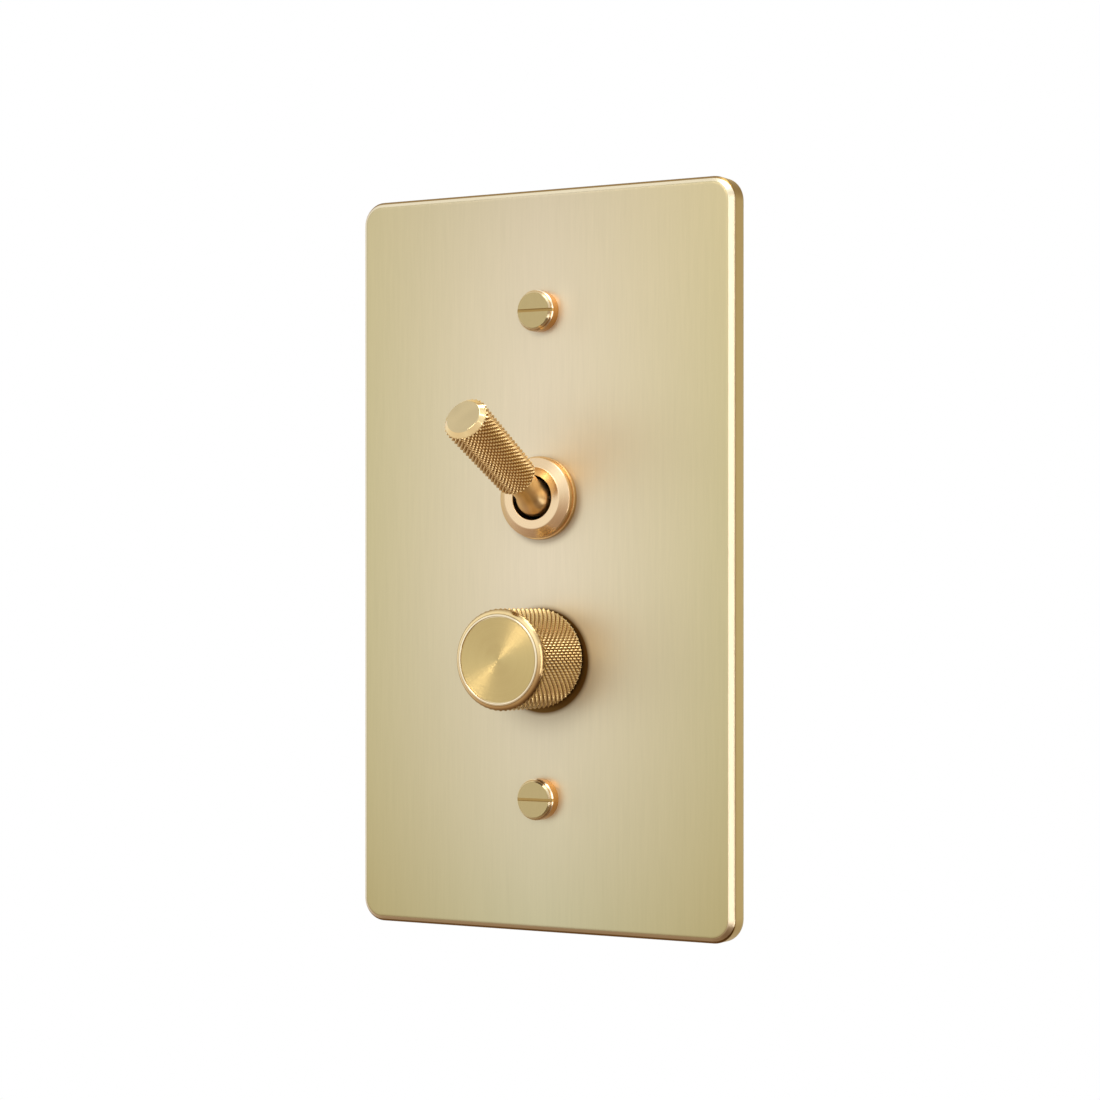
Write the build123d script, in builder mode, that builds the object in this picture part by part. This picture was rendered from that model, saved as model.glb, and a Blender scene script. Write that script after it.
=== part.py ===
from build123d import *
from math import cos, radians, sin, sqrt
import os

os.makedirs("parts", exist_ok=True)

# Wall plate with a toggle switch above and a rotary dimmer below, in millimetres.
# The origin is midway between the two box screws, on the plane of the wall.
# +X is to the right of someone facing the plate, +Y goes into the wall and +Z is up.

# Clearances
press_gap = 0.01
run_gap = 0.05
seat_gap = 0.1
swing_gap = 0.15

# Face plate
plate_width = 73.2
plate_height = 127.0
plate_thick = 4.0
plate_corner = 4.0
plate_bevel = 1.0
plate_ease = 0.2
plate_drop = 0.95
rim_width = 6.0
relief_depth = 1.5
relief_corner = 2.0

# Box screws, at the standard spacing of a single wall box
screw_spacing = 83.3
thread_r = 1.75
thread_length = 18.0
thread_point = 0.6
screw_neck_r = 2.0
head_r = 3.55
head_face_r = 3.0
head_side = 1.75
head_step = 0.14
head_bevel = 0.72
slot_width = 0.5
slot_depth = 0.75

# Ground screw on the back of the plate
ground_x = -18.0
ground_z = 32.0
ground_boss_r = 3.2
ground_boss_rise = 3.5
ground_screw_r = 1.5
ground_screw_depth = 4.0
ground_head_r = 3.0
ground_head_rise = 1.8
ground_washer_r = 3.6
ground_washer_thick = 0.8

# Toggle nose and dress ring
toggle_z = 9.75
nose_r = 5.2
nose_bore_r = 4.3
nose_waist_r = 4.6
nose_mouth_r = 6.0
nose_rise = 2.45
ring_base_r = 7.12
ring_body_r = 6.85
ring_face_r = 5.3
ring_bore_r = 3.82
ring_foot = 0.8
ring_cone_start = 1.95
ring_rise = 3.0
lip_gap = 0.05

# Lever, tilted up at rest
lever_tilt = 28.5
pivot_rise = 1.9
pivot_pin_r = 0.5
ball_r = 3.2
neck_r = 2.45
neck_blend = 5.0
tail_r = 1.4
tail_length = 6.6
bore_floor = 1.3
grip_start = 6.8
grip_end = 26.4
grip_base_r = 3.7
grip_tip_r = 4.05
grip_round = 0.9
grip_bevel = 1.1
grip_face_r = 2.95
stub_r = 1.6
stub_length = 14.0

# Sprung plunger in the lever's tail
plunger_r = 0.8
plunger_reach = 9.0
plunger_length = 4.8
spring_wire_r = 0.12
spring_r = 0.55
spring_turns = 4

# Rocking contact cradle, which turns against the lever at a fixed ratio
cradle_ratio = 0.35
cradle_drop = 10.6
cradle_width = 4.4
cradle_pin_r = 0.7
cradle_hub_r = 1.6
cup_thick = 0.9
cup_spread = 62.0
bar_front = 0.7
bar_back = 0.5
bar_reach = 7.8
contact_offset = 6.3
contact_r = 1.3
contact_rise = 0.6
contact_gap = 0.05

# Bent terminal strips and binding screws
strip_thick = 0.8
strip_width = 5.0
fixed_rise = 1.0
fixed_r = 1.4
ear_thick = 0.8
common_half = 2.2
pad_half = 2.9
leg_z = 9.0
pad_end = 4.6
pad_width = 6.4
binding_z = 6.9
binding_r = 1.4
binding_length = 6.0
binding_head_r = 2.4
binding_head_rise = 1.5
binding_slot_width = 0.7
binding_slot_depth = 0.7

# Switch case
case_width = 22.0
case_height = 24.0
case_floor_thick = 9.0
case_corner = 1.5
barrier_thick = 1.2
barrier_rise = 3.0
cavity_width = 12.4
cavity_height = 20.8
case_screw_inset_x = 2.4
case_screw_inset_z = 2.7
case_screw_r = 1.2
case_screw_head_r = 2.1
case_screw_length = 7.0

# Dimmer knob and shaft
dimmer_z = -17.6
knob_r = 8.6
knob_gap = 0.4
knob_rise = 14.3
knob_face_r = 7.5
knob_bevel = 1.15
knob_foot_bevel = 0.3
face_lip = 0.25
face_sink = 0.12
knob_recess_r = 6.9
knob_ceiling = 4.4
shaft_r = 3.0
shaft_flat = 2.3
shaft_top = 11.5
clip_groove_r = 2.5
clip_r = 4.4
clip_start = 3.4
clip_thick = 0.5

# Dimmer nose, nut and washer
dimmer_nose_r = 4.7
dimmer_nose_rise = 3.3
dimmer_flange_r = 8.0
dimmer_flange_thick = 1.2
dimmer_washer_r = 6.3
dimmer_washer_thick = 0.5
dimmer_nut_flat = 5.5
dimmer_nut_thick = 2.0

# Potentiometer
pot_r = 8.6
pot_wall = 0.8
pot_depth = 6.8
rotor_r = 6.6
rotor_thick = 1.4
rotor_gap = 0.8
tenon_r = 2.0
wiper_thick = 0.3
wiper_width = 2.4
wiper_foot = 3.2
wiper_tip = 5.6
track_r = 7.6
track_thick = 0.9
track_hole_r = 2.6
track_notch = 3.0

# Dimmer case, heat sink and circuit board
sink_width = 42.0
module_gap = 0.85
sink_bottom = -33.6
dimmer_case_depth = 23.0
dimmer_wall = 1.6
dimmer_back_wall = 2.0
dimmer_back_bevel = 0.8
dimmer_corner = 2.0
post_size = 5.0
ledge_width = 1.2
ledge_height = 12.0
board_thick = 1.6
board_gap = 0.2
triac_side_gap = 0.4
triac_gap = 0.5
triac_hole_drop = 2.9
triac_tab_thick = 1.3
triac_tab_height = 15.0
triac_body_height = 9.0
triac_body_thick = 4.4
triac_lead = 0.7
triac_lead_pitch = 2.5
triac_lead_drop = 1.6
triac_screw_r = 1.5
triac_screw_head_r = 2.6
triac_screw_head_rise = 1.4
coil_gap = 1.5
choke_z = -21.5
choke_r = 6.6
choke_hole_r = 3.4
choke_height = 6.0
winding_thick = 0.9
winding_arc = 290.0
capacitor_z = -23.0
capacitor_width = 13.0
capacitor_height = 6.5
capacitor_depth = 9.0
dimmer_pad_inset = 10.0
dimmer_leg_z = -7.2
dimmer_pad_end = -14.6
dimmer_binding_z = -11.0
dimmer_boss_r = 3.2
dimmer_boss_depth = 6.0

# Places that follow from the sizes above
half_spacing = screw_spacing / 2
case_screw_x = case_width / 2 - case_screw_inset_x
case_screw_z = case_height / 2 - case_screw_inset_z
pivot = (0, -plate_thick - pivot_rise, toggle_z)
lever_line = (0, -cos(radians(lever_tilt)), sin(radians(lever_tilt)))
cradle_rest = radians(lever_tilt * cradle_ratio)
cradle_y = cradle_drop - plate_thick - pivot_rise
cradle_at = (0, cradle_y, toggle_z)
cradle_line = (0, cos(cradle_rest), sin(cradle_rest))
contact_face = bar_back + contact_rise
fixed_y = cradle_y + contact_face * cos(cradle_rest)
fixed_y += (contact_offset + contact_r) * sin(cradle_rest) + contact_gap
fixed_z = contact_offset * cos(cradle_rest) - contact_face * sin(cradle_rest)
floor_y = fixed_y + fixed_rise + strip_thick
case_back = floor_y + case_floor_thick
binding_face = case_back + strip_thick
pot_back = dimmer_flange_thick + pot_depth
board_back = pot_back + board_thick
rotor_y = dimmer_flange_thick + rotor_gap
track_y = pot_back - pot_wall - track_thick
sink_top = toggle_z - case_height / 2 - module_gap
sink_mid = (sink_top + sink_bottom) / 2
sink_height = sink_top - sink_bottom
post_x = sink_width / 2 - dimmer_wall - post_size / 2
post_z = sink_height / 2 - dimmer_wall - post_size / 2
dimmer_back = dimmer_case_depth
triac_top = sink_top - dimmer_wall - post_size - triac_gap
triac_low = triac_top - triac_tab_height
triac_hole_z = triac_top - triac_hole_drop
triac_width = sink_width / 2 - dimmer_wall - pot_r - 2 * triac_side_gap
triac_x = pot_r + triac_side_gap + triac_width / 2
dimmer_pad_x = sink_width / 2 - dimmer_pad_inset
choke_x = -coil_gap / 2 - choke_r - winding_thick
capacitor_x = coil_gap / 2 + capacitor_width / 2
dimmer_binding_face = dimmer_back + strip_thick


def facing_front(y):
    """Sketch plane at depth y, seen from the front: local x to the right, local y up."""
    return Plane.XZ.offset(-y)


def turned(x, z):
    """Half-section of a turned piece: local x runs forward out of the wall, local y is its radius."""
    return Plane(origin=(x, 0, z), x_dir=(0, -1, 0), z_dir=(-1, 0, 0))


def side_section(x, z):
    """Upright section seen from the right: local x goes into the wall, local y is up."""
    return Plane(origin=(x, 0, z), x_dir=(0, 1, 0), z_dir=(1, 0, 0))


def forward_axis(x, z):
    """Axis of a turned piece that faces the front."""
    return Axis((x, 0, z), (0, -1, 0))


lever_section = Plane(origin=pivot, x_dir=lever_line, z_dir=(-1, 0, 0))
lever_axis = Axis(pivot, lever_line)
cradle_section = Plane(origin=cradle_at, x_dir=cradle_line, z_dir=(1, 0, 0))

# Face plate: bevelled front edge, relieved back and a boss for the ground screw
with BuildPart() as face_plate:
    with BuildSketch(facing_front(0)):
        with Locations((0, -plate_drop)):
            RectangleRounded(plate_width, plate_height, plate_corner)
    extrude(amount=plate_thick)
    chamfer(face_plate.faces().sort_by(Axis.Y)[0].edges(), plate_bevel)
    fillet(face_plate.faces().sort_by(Axis.Y)[0].edges(), plate_ease)
    bevel_foot = plate_bevel - plate_thick
    fillet(face_plate.edges().filter_by_position(Axis.Y, bevel_foot, bevel_foot), plate_ease)
    with BuildSketch(facing_front(0)):
        with Locations((0, -plate_drop)):
            RectangleRounded(plate_width - 2 * rim_width, plate_height - 2 * rim_width, relief_corner)
    extrude(amount=relief_depth, mode=Mode.SUBTRACT)
    with BuildSketch(facing_front(ground_boss_rise - relief_depth)):
        with Locations((ground_x, ground_z)):
            Circle(ground_boss_r)
    extrude(amount=ground_boss_rise)
    with BuildSketch(facing_front(ground_boss_rise - relief_depth)):
        with Locations((ground_x, ground_z)):
            Circle(ground_screw_r + press_gap)
    extrude(amount=ground_screw_depth + press_gap, mode=Mode.SUBTRACT)
    with BuildSketch(facing_front(0)):
        with Locations((0, toggle_z)):
            Circle(nose_r + seat_gap)
        with Locations((0, dimmer_z)):
            Circle(dimmer_nose_r + seat_gap)
        with Locations((0, half_spacing), (0, -half_spacing)):
            Circle(screw_neck_r + seat_gap)
    extrude(amount=plate_thick, mode=Mode.SUBTRACT)

# Box screws: double-bevelled heads with a level slot
head_rise = head_side + head_step + head_bevel
with BuildPart() as plate_screws:
    with BuildSketch(turned(0, half_spacing)):
        Polygon(
            (-thread_length, 0),
            (-thread_length, thread_r - thread_point),
            (-thread_length + thread_point, thread_r),
            (0, thread_r),
            (0, screw_neck_r),
            (plate_thick, screw_neck_r),
            (plate_thick, head_r),
            (plate_thick + head_side, head_r),
            (plate_thick + head_side + head_step, head_r - head_step),
            (plate_thick + head_rise, head_face_r),
            (plate_thick + head_rise, 0),
            align=None,
        )
    revolve(axis=forward_axis(0, half_spacing))
    with BuildSketch(facing_front(-plate_thick - head_rise + slot_depth)):
        with Locations((0, half_spacing)):
            Rectangle(2 * head_r, slot_width)
    extrude(amount=slot_depth, mode=Mode.SUBTRACT)
    mirror(about=Plane.XY)

# Ground washer and screw
ground_face = ground_boss_rise - relief_depth
with BuildPart() as ground_washer:
    with BuildSketch(facing_front(ground_face + ground_washer_thick)):
        with Locations((ground_x, ground_z)):
            Circle(ground_washer_r)
            Circle(ground_screw_r + seat_gap, mode=Mode.SUBTRACT)
    extrude(amount=ground_washer_thick)

ground_seat = ground_face + ground_washer_thick
with BuildPart() as ground_screw:
    with BuildSketch(facing_front(ground_seat + ground_head_rise)):
        with Locations((ground_x, ground_z)):
            Circle(ground_head_r)
            Rectangle(2 * ground_head_r, binding_slot_width, mode=Mode.SUBTRACT)
    extrude(amount=binding_slot_depth)
    with BuildSketch(facing_front(ground_seat + ground_head_rise - binding_slot_depth)):
        with Locations((ground_x, ground_z)):
            Circle(ground_head_r)
    extrude(amount=ground_head_rise - binding_slot_depth)
    with BuildSketch(facing_front(ground_seat)):
        with Locations((ground_x, ground_z)):
            Circle(ground_screw_r)
    extrude(amount=ground_washer_thick + ground_screw_depth)

# Toggle bushing: flange behind the plate, threaded nose and two notches for the pivot pin
nose_top = plate_thick + nose_rise
with BuildPart() as toggle_bushing:
    with BuildSketch(facing_front(0)):
        with Locations((0, toggle_z)):
            RectangleRounded(case_width, case_height, case_corner)
    extrude(amount=relief_depth)
    with BuildSketch(facing_front(-relief_depth)):
        with Locations((0, toggle_z)):
            Circle(nose_r)
    extrude(amount=nose_top - relief_depth)
    with BuildSketch(turned(0, toggle_z)):
        Polygon(
            (0, 0),
            (0, nose_mouth_r),
            (relief_depth, nose_waist_r),
            (2 * relief_depth, nose_bore_r),
            (nose_top, nose_bore_r),
            (nose_top, 0),
            align=None,
        )
    revolve(axis=forward_axis(0, toggle_z), mode=Mode.SUBTRACT)
    with BuildSketch(Plane(origin=pivot, x_dir=(0, -1, 0), z_dir=(-1, 0, 0))):
        Circle(pivot_pin_r + run_gap)
        with Locations(((nose_rise - pivot_rise) / 2, 0)):
            Rectangle(nose_rise - pivot_rise, 2 * (pivot_pin_r + run_gap))
    extrude(amount=2 * nose_r, both=True, mode=Mode.SUBTRACT)
    with Locations(Plane(origin=(0, -relief_depth, toggle_z), x_dir=(1, 0, 0), z_dir=(0, -1, 0))):
        with GridLocations(2 * case_screw_x, 2 * case_screw_z, 2, 2):
            CounterSinkHole(case_screw_r + seat_gap, case_screw_head_r + seat_gap)

# Dress ring: foot, short barrel, cone and a flat lip over the nose
ring_thread_r = nose_r + run_gap
with BuildPart() as toggle_ring:
    with BuildSketch(turned(0, toggle_z)):
        Polygon(
            (plate_thick, ring_thread_r),
            (plate_thick, ring_base_r),
            (plate_thick + ring_foot, ring_base_r),
            (plate_thick + ring_foot, ring_body_r),
            (plate_thick + ring_cone_start, ring_body_r),
            (plate_thick + ring_rise, ring_face_r),
            (plate_thick + ring_rise, ring_bore_r),
            (nose_top + lip_gap, ring_bore_r),
            (nose_top + lip_gap, ring_thread_r),
            align=None,
        )
    revolve(axis=forward_axis(0, toggle_z))

# Lever: hollow tail, ball on the pivot, slim neck that flows into it and a stub for the grip
tail_joint = -sqrt(ball_r**2 - tail_r**2)
neck_joint = sqrt((ball_r + neck_blend) ** 2 - (neck_r + neck_blend) ** 2)
ball_share = ball_r / (ball_r + neck_blend)
ball_joint = (ball_share * neck_joint, ball_share * (neck_r + neck_blend))
plunger_bore_r = plunger_r + run_gap
with BuildPart() as toggle_lever:
    with BuildSketch(lever_section):
        with BuildLine():
            Polyline(
                (neck_joint, neck_r),
                (grip_start, neck_r),
                (grip_start, stub_r),
                (grip_start + stub_length, stub_r),
                (grip_start + stub_length, 0),
                (-bore_floor, 0),
                (-bore_floor, plunger_bore_r),
                (-tail_length, plunger_bore_r),
                (-tail_length, tail_r),
                (tail_joint, tail_r),
            )
            ThreePointArc((tail_joint, tail_r), (0, ball_r), ball_joint)
            RadiusArc(ball_joint, (neck_joint, neck_r), -neck_blend)
        make_face()
    revolve(axis=lever_axis)
    with BuildSketch(lever_section):
        Circle(pivot_pin_r + press_gap)
    extrude(amount=2 * ball_r, both=True, mode=Mode.SUBTRACT)

# Grip: tapered sleeve with a rounded foot and a bevelled tip
grip_bore_r = stub_r + press_gap
grip_bore_end = grip_start + stub_length + press_gap
with BuildPart() as toggle_grip:
    with BuildSketch(lever_section):
        with BuildLine():
            Polyline(
                (grip_start + grip_round, grip_base_r),
                (grip_end - grip_bevel, grip_tip_r),
                (grip_end, grip_face_r),
                (grip_end, 0),
                (grip_bore_end, 0),
                (grip_bore_end, grip_bore_r),
                (grip_start, grip_bore_r),
                (grip_start, grip_base_r - grip_round),
            )
            RadiusArc(
                (grip_start, grip_base_r - grip_round),
                (grip_start + grip_round, grip_base_r),
                grip_round,
            )
        make_face()
    revolve(axis=lever_axis)

# Pivot pin: pressed through the ball, its ends run in the nose's notches
pivot_pin_half = nose_r - seat_gap
with BuildPart() as toggle_pivot_pin:
    with BuildSketch(lever_section):
        Circle(pivot_pin_r)
    extrude(amount=pivot_pin_half, both=True)

# Plunger: round-nosed rod in the tail
plunger_nose = plunger_reach - plunger_r
plunger_top = plunger_reach - plunger_length
with BuildPart() as plunger:
    with BuildSketch(lever_section):
        with BuildLine():
            Polyline(
                (-plunger_reach, 0),
                (-plunger_top, 0),
                (-plunger_top, plunger_r),
                (-plunger_nose, plunger_r),
            )
            RadiusArc((-plunger_nose, plunger_r), (-plunger_reach, 0), -plunger_r)
        make_face()
    revolve(axis=lever_axis)

# Plunger spring: round wire wound between the bore's floor and the plunger
spring_length = plunger_top - bore_floor - 2 * spring_wire_r
spring_foot = lever_section.from_local_coords((-plunger_top + spring_wire_r, 0))
with BuildPart() as plunger_spring:
    with BuildLine() as spring_line:
        Helix(spring_length / spring_turns, spring_length, spring_r, center=spring_foot, direction=lever_line)
    with BuildSketch(Plane(origin=spring_line.line @ 0, z_dir=spring_line.line % 0)):
        Circle(spring_wire_r)
    sweep(path=spring_line.line, is_frenet=True)

# Contact cradle: the cup's radius follows the plunger's path as both of them turn
nose_path_y = -cradle_drop + plunger_nose * cos(radians(lever_tilt))
nose_path_z = -plunger_nose * sin(radians(lever_tilt))
path_x = nose_path_y * cos(cradle_rest) + nose_path_z * sin(cradle_rest)
path_z = nose_path_z * cos(cradle_rest) - nose_path_y * sin(cradle_rest)
path_mid = plunger_nose - cradle_drop
path_rise = path_mid - path_x
path_r = (path_z**2 + path_rise**2) / (2 * path_rise)
cup_centre = path_mid - path_r
cup_r = path_r + plunger_r + swing_gap
with BuildPart() as contact_cradle:
    with BuildSketch(cradle_section):
        with BuildLine():
            inner = CenterArc((cup_centre, 0), cup_r, -cup_spread, 2 * cup_spread)
            outer = CenterArc((cup_centre, 0), cup_r + cup_thick, -cup_spread, 2 * cup_spread)
            Line(inner @ 0, outer @ 0)
            Line(inner @ 1, outer @ 1)
        make_face()
        with Locations(((bar_back - bar_front) / 2, 0)):
            Rectangle(bar_front + bar_back, 2 * bar_reach)
        Circle(cradle_hub_r)
        with BuildLine():
            Line((cup_centre, 0), inner @ 0)
            CenterArc((cup_centre, 0), cup_r, -cup_spread, 2 * cup_spread)
            Line(inner @ 1, (cup_centre, 0))
        make_face(mode=Mode.SUBTRACT)
        Circle(cradle_pin_r + run_gap, mode=Mode.SUBTRACT)
    extrude(amount=cradle_width / 2, both=True)

# Silver buttons on the cradle's two arms
with BuildPart() as moving_contacts:
    for side in (-1, 1):
        button_at = cradle_section.from_local_coords((bar_back, side * contact_offset))
        with BuildSketch(Plane(origin=button_at, x_dir=(1, 0, 0), z_dir=cradle_line)):
            Circle(contact_r)
        extrude(amount=contact_rise)

# Pin that the cradle rocks on
ear_x = cradle_width / 2 + swing_gap
with BuildPart() as cradle_pin:
    with BuildSketch(cradle_section):
        Circle(cradle_pin_r)
    extrude(amount=ear_x + ear_thick, both=True)

# Common terminal: forked bracket on the case floor, with a leg to a pad on the back
common_edge = ear_x + ear_thick
common_leg_x = common_edge + strip_thick / 2
with BuildPart() as common_terminal:
    with BuildSketch(facing_front(floor_y)):
        with Locations((strip_thick / 2, toggle_z)):
            Rectangle(2 * common_edge + strip_thick, 2 * common_half)
    extrude(amount=strip_thick)
    with BuildSketch(side_section(0, toggle_z)):
        with Locations(((cradle_y + floor_y) / 2, 0)):
            Rectangle(floor_y - cradle_y, 2 * cradle_hub_r)
        with Locations((cradle_y, 0)):
            Circle(cradle_hub_r)
            Circle(cradle_pin_r + press_gap, mode=Mode.SUBTRACT)
    extrude(amount=common_edge, both=True)
    with BuildSketch(facing_front(floor_y - strip_thick)):
        with Locations((0, toggle_z)):
            Rectangle(2 * ear_x, 4 * cradle_hub_r)
    extrude(amount=floor_y - cradle_y + 2 * cradle_hub_r, mode=Mode.SUBTRACT)
    with BuildSketch(facing_front(binding_face)):
        with Locations((common_leg_x, toggle_z)):
            Rectangle(strip_thick, 2 * common_half)
    extrude(amount=binding_face - floor_y + strip_thick)
    with BuildSketch(facing_front(binding_face)):
        with Locations((strip_thick / 2, toggle_z)):
            Rectangle(2 * common_edge + strip_thick, 2 * pad_half)
        with Locations((0, toggle_z)):
            Circle(binding_r + seat_gap, mode=Mode.SUBTRACT)
    extrude(amount=strip_thick)

# Upper terminal: strip under the fixed contact, leg through the case and a pad on the back
with BuildPart() as upper_terminal:
    with BuildSketch(side_section(0, toggle_z)):
        Polygon(
            (floor_y - strip_thick, fixed_z - fixed_r),
            (floor_y - strip_thick, leg_z + strip_thick),
            (binding_face, leg_z + strip_thick),
            (binding_face, pad_end),
            (case_back, pad_end),
            (case_back, leg_z),
            (floor_y, leg_z),
            (floor_y, fixed_z - fixed_r),
            align=None,
        )
    extrude(amount=strip_width / 2, both=True)
    with BuildSketch(facing_front(binding_face)):
        with Locations((0, toggle_z + binding_z)):
            Circle(binding_r + seat_gap)
    extrude(amount=strip_thick, mode=Mode.SUBTRACT)

with BuildPart() as lower_terminal:
    mirror(upper_terminal.part, about=Plane.XY.offset(toggle_z))

# Silver buttons that the cradle's arms close on
with BuildPart() as fixed_contacts:
    with BuildSketch(facing_front(floor_y - strip_thick)):
        with Locations((0, toggle_z + fixed_z), (0, toggle_z - fixed_z)):
            Circle(fixed_r)
    extrude(amount=fixed_rise)

# Binding screws of the switch: slotted heads over the pads
binding_places = [(0, toggle_z + offset) for offset in (-binding_z, 0, binding_z)]
with BuildPart() as switch_terminal_screws:
    with BuildSketch(facing_front(binding_face + binding_head_rise)):
        with Locations(*binding_places):
            Circle(binding_head_r)
            Rectangle(2 * binding_head_r, binding_slot_width, mode=Mode.SUBTRACT)
    extrude(amount=binding_slot_depth)
    with BuildSketch(facing_front(binding_face + binding_head_rise - binding_slot_depth)):
        with Locations(*binding_places):
            Circle(binding_head_r)
    extrude(amount=binding_head_rise - binding_slot_depth)
    with BuildSketch(facing_front(binding_face)):
        with Locations(*binding_places):
            Circle(binding_r)
    extrude(amount=binding_length)

# Switch case: moulded block with a cavity, barriers between the pads and blind screw holes
barrier_z = (pad_half + pad_end) / 2
with BuildPart() as switch_case:
    with BuildSketch(facing_front(case_back)):
        with Locations((0, toggle_z)):
            RectangleRounded(case_width, case_height, case_corner)
    extrude(amount=case_back)
    with BuildSketch(facing_front(case_back + barrier_rise)):
        with Locations((0, toggle_z - barrier_z), (0, toggle_z + barrier_z)):
            Rectangle(case_width - 2 * case_corner, barrier_thick)
    extrude(amount=barrier_rise)
    with BuildSketch(facing_front(floor_y)):
        with Locations((0, toggle_z)):
            Rectangle(cavity_width, cavity_height)
    extrude(amount=floor_y, mode=Mode.SUBTRACT)
    with BuildSketch(facing_front(case_back)):
        leg_mid = leg_z + strip_thick / 2
        with Locations((0, toggle_z + leg_mid), (0, toggle_z - leg_mid)):
            Rectangle(strip_width + seat_gap, strip_thick + seat_gap)
        with Locations((common_leg_x, toggle_z)):
            Rectangle(strip_thick + seat_gap, 2 * common_half + seat_gap)
    extrude(amount=case_floor_thick, mode=Mode.SUBTRACT)
    with BuildSketch(facing_front(case_back)):
        with Locations(*binding_places):
            Circle(binding_r + press_gap)
    extrude(amount=binding_length, mode=Mode.SUBTRACT)
    with BuildSketch(facing_front(case_screw_length)):
        with Locations((0, toggle_z)):
            with GridLocations(2 * case_screw_x, 2 * case_screw_z, 2, 2):
                Circle(case_screw_r + press_gap)
    extrude(amount=case_screw_length, mode=Mode.SUBTRACT)

# Countersunk screws through the bushing's flange
case_head_rise = case_screw_head_r - case_screw_r
with BuildPart() as switch_case_screws:
    with BuildSketch(turned(case_screw_x, toggle_z + case_screw_z)):
        Polygon(
            (press_gap - case_screw_length, 0),
            (press_gap - case_screw_length, case_screw_r),
            (relief_depth - case_head_rise, case_screw_r),
            (relief_depth, case_screw_head_r),
            (relief_depth, 0),
            align=None,
        )
    revolve(axis=forward_axis(case_screw_x, toggle_z + case_screw_z))
    mirror(about=Plane.YZ)
    mirror(about=Plane.XY.offset(toggle_z))

# Dimmer knob: bevelled barrel, sunk face, hollow foot and a bore with a flat
knob_top = plate_thick + knob_rise
knob_foot = plate_thick + knob_gap
with BuildPart() as dimmer_knob:
    with BuildSketch(turned(0, dimmer_z)):
        Polygon(
            (knob_foot, knob_recess_r),
            (knob_foot, knob_r - knob_foot_bevel),
            (knob_foot + knob_foot_bevel, knob_r),
            (knob_top - knob_bevel, knob_r),
            (knob_top, knob_face_r),
            (knob_top, knob_face_r - face_lip),
            (knob_top - face_sink, knob_face_r - face_lip),
            (knob_top - face_sink, 0),
            (plate_thick + knob_ceiling, 0),
            (plate_thick + knob_ceiling, knob_recess_r),
            align=None,
        )
    revolve(axis=forward_axis(0, dimmer_z))
    with BuildSketch(facing_front(-plate_thick - knob_ceiling)):
        with Locations((0, dimmer_z)):
            Circle(shaft_r + press_gap)
        with Locations((0, dimmer_z + shaft_flat + press_gap)):
            Rectangle(2 * knob_r, knob_r, align=(Align.CENTER, Align.MIN), mode=Mode.SUBTRACT)
    extrude(amount=shaft_top - knob_ceiling + press_gap, mode=Mode.SUBTRACT)

# Dimmer shaft: clip groove, flat for the knob and a tenon for the rotor
clip_y = plate_thick + clip_start
with BuildPart() as dimmer_shaft:
    with BuildSketch(turned(0, dimmer_z)):
        Polygon(
            (-rotor_y - rotor_thick, 0),
            (-rotor_y - rotor_thick, tenon_r),
            (-rotor_y, tenon_r),
            (-rotor_y, shaft_r),
            (clip_y, shaft_r),
            (clip_y, clip_groove_r),
            (clip_y + clip_thick, clip_groove_r),
            (clip_y + clip_thick, shaft_r),
            (plate_thick + shaft_top, shaft_r),
            (plate_thick + shaft_top, 0),
            align=None,
        )
    revolve(axis=forward_axis(0, dimmer_z))
    with BuildSketch(facing_front(-plate_thick - knob_ceiling)):
        with Locations((0, dimmer_z + shaft_flat)):
            Rectangle(2 * shaft_r, shaft_r, align=(Align.CENTER, Align.MIN))
    extrude(amount=shaft_top - knob_ceiling, mode=Mode.SUBTRACT)

# Open clip in the shaft's groove, in front of the nose
with BuildPart() as shaft_clip:
    with BuildSketch(facing_front(-clip_y)):
        with Locations((0, dimmer_z)):
            Circle(clip_r)
            Circle(clip_groove_r + press_gap, mode=Mode.SUBTRACT)
            Rectangle(clip_groove_r, 2 * clip_r, align=(Align.CENTER, Align.MAX), mode=Mode.SUBTRACT)
    extrude(amount=clip_thick)

# Dimmer bushing: threaded nose with a flange behind the heat sink
with BuildPart() as dimmer_bushing:
    with BuildSketch(turned(0, dimmer_z)):
        Polygon(
            (-dimmer_flange_thick, shaft_r + run_gap),
            (-dimmer_flange_thick, dimmer_flange_r),
            (0, dimmer_flange_r),
            (0, dimmer_nose_r),
            (plate_thick + dimmer_nose_rise, dimmer_nose_r),
            (plate_thick + dimmer_nose_rise, shaft_r + run_gap),
            align=None,
        )
    revolve(axis=forward_axis(0, dimmer_z))

# Washer and nut under the knob
with BuildPart() as dimmer_washer:
    with BuildSketch(facing_front(-plate_thick)):
        with Locations((0, dimmer_z)):
            Circle(dimmer_washer_r)
            Circle(dimmer_nose_r + seat_gap, mode=Mode.SUBTRACT)
    extrude(amount=dimmer_washer_thick)

with BuildPart() as dimmer_nut:
    with BuildSketch(facing_front(-plate_thick - dimmer_washer_thick)):
        with Locations((0, dimmer_z)):
            RegularPolygon(dimmer_nut_flat, 6, major_radius=False)
            Circle(dimmer_nose_r + press_gap, mode=Mode.SUBTRACT)
    extrude(amount=dimmer_nut_thick)

# Potentiometer can behind the flange
with BuildPart() as pot_case:
    with BuildSketch(facing_front(pot_back)):
        with Locations((0, dimmer_z)):
            Circle(pot_r)
    extrude(amount=pot_depth)
    with BuildSketch(facing_front(pot_back - pot_wall)):
        with Locations((0, dimmer_z)):
            Circle(pot_r - pot_wall)
    extrude(amount=pot_depth - pot_wall, mode=Mode.SUBTRACT)

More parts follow.
